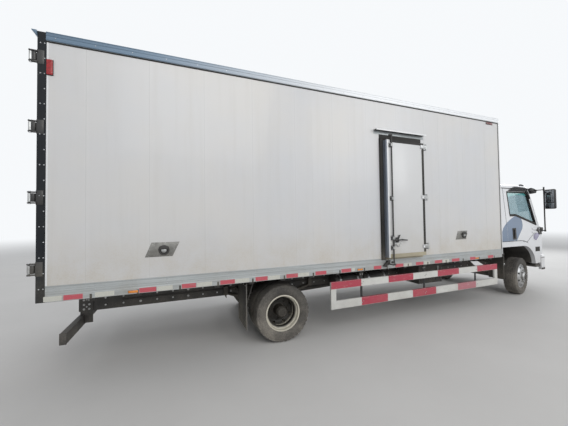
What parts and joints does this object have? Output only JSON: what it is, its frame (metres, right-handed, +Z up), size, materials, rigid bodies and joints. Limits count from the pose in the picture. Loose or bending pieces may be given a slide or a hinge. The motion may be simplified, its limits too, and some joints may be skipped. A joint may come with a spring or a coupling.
{
  "type": "refrigerated box truck",
  "caption": "Two-axle cab-over truck with a long insulated box, side and rear doors, a nose-mounted cooling unit and side guards.",
  "frame": {"origin": "on the ground under the middle of the vehicle", "axes": "+X forwards, +Y to the driver's left, +Z up"},
  "size_m": [9.82, 2.719, 3.7999],
  "materials": {
    "chassis_paint": "satin black with road dust",
    "box_lining": "smooth pale lining",
    "box_skin": "glossy white panel, slightly dusty",
    "rail_aluminium": "mill finish extrusion",
    "stainless": "brushed",
    "unit_plastic": "white moulded cover",
    "spring_steel": "dusty black",
    "engine_iron": "cast",
    "tank_aluminium": "brushed tank",
    "chassis_plastic": "grained black",
    "guard_paint": "white with red and white bands",
    "flap_rubber": "dull",
    "cab_paint": "glossy white",
    "cab_underside": "grey",
    "cab_glass": "slightly tinted",
    "cab_plastic": "grained grey",
    "seat_fabric": "woven",
    "lamp_plastic": "moulded lenses",
    "tyre_rubber": "dusty tread",
    "wheel_steel": "silver, worn"
  },
  "bodies": {
    "root": {"frame_rails": "chassis_paint", "frame_crossmembers": "chassis_paint", "box_sills": "chassis_paint", "box_bearers": "chassis_paint", "box_floor": "box_lining", "box_side_right": "box_skin", "box_side_left": "box_skin", "box_front_wall": "box_skin", "box_roof": "box_skin", "box_rails": "rail_aluminium", "side_door_fittings": "stainless", "rear_frame": "stainless", "fridge_unit": "unit_plastic", "rear_axle": "chassis_paint", "leaf_springs": "spring_steel", "front_axle": "chassis_paint", "propshaft": "chassis_paint", "engine_block": "engine_iron", "fuel_tank": "tank_aluminium", "battery_box": "chassis_plastic", "air_tanks": "chassis_paint", "silencer": "engine_iron", "side_guards": "guard_paint", "mud_flaps": "flap_rubber", "rear_underrun": "chassis_paint", "front_bumper": "cab_paint", "cab_mounts": "chassis_paint", "lamps": "lamp_plastic"},
    "cab": {"cab_roof": "cab_paint", "cab_back": "cab_paint", "cab_front": "cab_paint", "cab_sides": "cab_paint", "cab_flares": "cab_paint", "cab_floor": "cab_underside", "windscreen": "cab_glass", "dashboard": "cab_plastic", "steering_wheel": "cab_plastic", "seats": "seat_fabric", "sun_visor": "chassis_plastic", "mirrors": "chassis_plastic"},
    "side_door": {"side_door": "box_skin"},
    "rear_door_right": {"rear_door_right": "box_skin"},
    "cab_door_right": {"cab_door_right": "cab_paint", "cab_door_glass_right": "cab_glass"},
    "knuckle_right": {"knuckle_right": "chassis_paint"},
    "front_wheel_right": {"tyre_front_right": "tyre_rubber", "wheel_front_right": "wheel_steel"},
    "rear_wheel_right": {"tyres_rear_right": "tyre_rubber", "wheels_rear_right": "wheel_steel"},
    "rear_door_left": {"rear_door_left": "box_skin"},
    "cab_door_left": {"cab_door_left": "cab_paint", "cab_door_glass_left": "cab_glass"},
    "knuckle_left": {"knuckle_left": "chassis_paint"},
    "front_wheel_left": {"tyre_front_left": "tyre_rubber", "wheel_front_left": "wheel_steel"},
    "rear_wheel_left": {"tyres_rear_left": "tyre_rubber", "wheels_rear_left": "wheel_steel"}
  },
  "joints": [
    {"name": "steer_right", "type": "hinge", "parent": "root", "child": "knuckle_right", "pos_m": [3.77, -0.775, 0.412], "axis": [0, 0, 1], "range_deg": [-50, 26]},
    {"name": "front_wheel_spin_right", "type": "hinge", "parent": "knuckle_right", "child": "front_wheel_right", "pos_m": [3.79183, -0.87771, 0.412], "axis": [-0.2079, 0.9781, 0], "continuous": true},
    {"name": "rear_wheel_spin_right", "type": "hinge", "parent": "root", "child": "rear_wheel_right", "pos_m": [-2.05, -0.844, 0.412], "axis": [0, 1, 0], "continuous": true},
    {"name": "rear_door_swing_right", "type": "hinge", "parent": "root", "child": "rear_door_right", "pos_m": [-4.895, -1.22, 2.4], "axis": [0, 0, 1], "range_deg": [0, 265]},
    {"name": "cab_door_swing_right", "type": "hinge", "parent": "cab", "child": "cab_door_right", "pos_m": [4.416, -1.05, 1.45], "axis": [0, 0, 1], "range_deg": [0, 65]},
    {"name": "steer_left", "type": "hinge", "parent": "root", "child": "knuckle_left", "pos_m": [3.77, 0.775, 0.412], "axis": [0, 0, 1], "range_deg": [-50, 26]},
    {"name": "front_wheel_spin_left", "type": "hinge", "parent": "knuckle_left", "child": "front_wheel_left", "pos_m": [3.74817, 0.87771, 0.412], "axis": [-0.2079, 0.9781, 0], "continuous": true},
    {"name": "rear_wheel_spin_left", "type": "hinge", "parent": "root", "child": "rear_wheel_left", "pos_m": [-2.05, 0.844, 0.412], "axis": [0, 1, 0], "continuous": true},
    {"name": "rear_door_swing_left", "type": "hinge", "parent": "root", "child": "rear_door_left", "pos_m": [-4.895, 1.22, 2.4], "axis": [0, 0, -1], "range_deg": [0, 265]},
    {"name": "cab_door_swing_left", "type": "hinge", "parent": "cab", "child": "cab_door_left", "pos_m": [4.416, 1.05, 1.45], "axis": [0, 0, -1], "range_deg": [0, 65]},
    {"name": "side_door_swing", "type": "hinge", "parent": "root", "child": "side_door", "pos_m": [0.55, -1.33, 2.09], "axis": [0, 0, 1], "range_deg": [0, 175]},
    {"name": "cab_tilt", "type": "hinge", "parent": "root", "child": "cab", "pos_m": [4.77, 0, 0.9], "axis": [0, 1, 0], "range_deg": [0, 45]}
  ],
  "couplings": [
    {"joint": "steer_left", "follows": "steer_right", "ratio": 1}
  ]
}
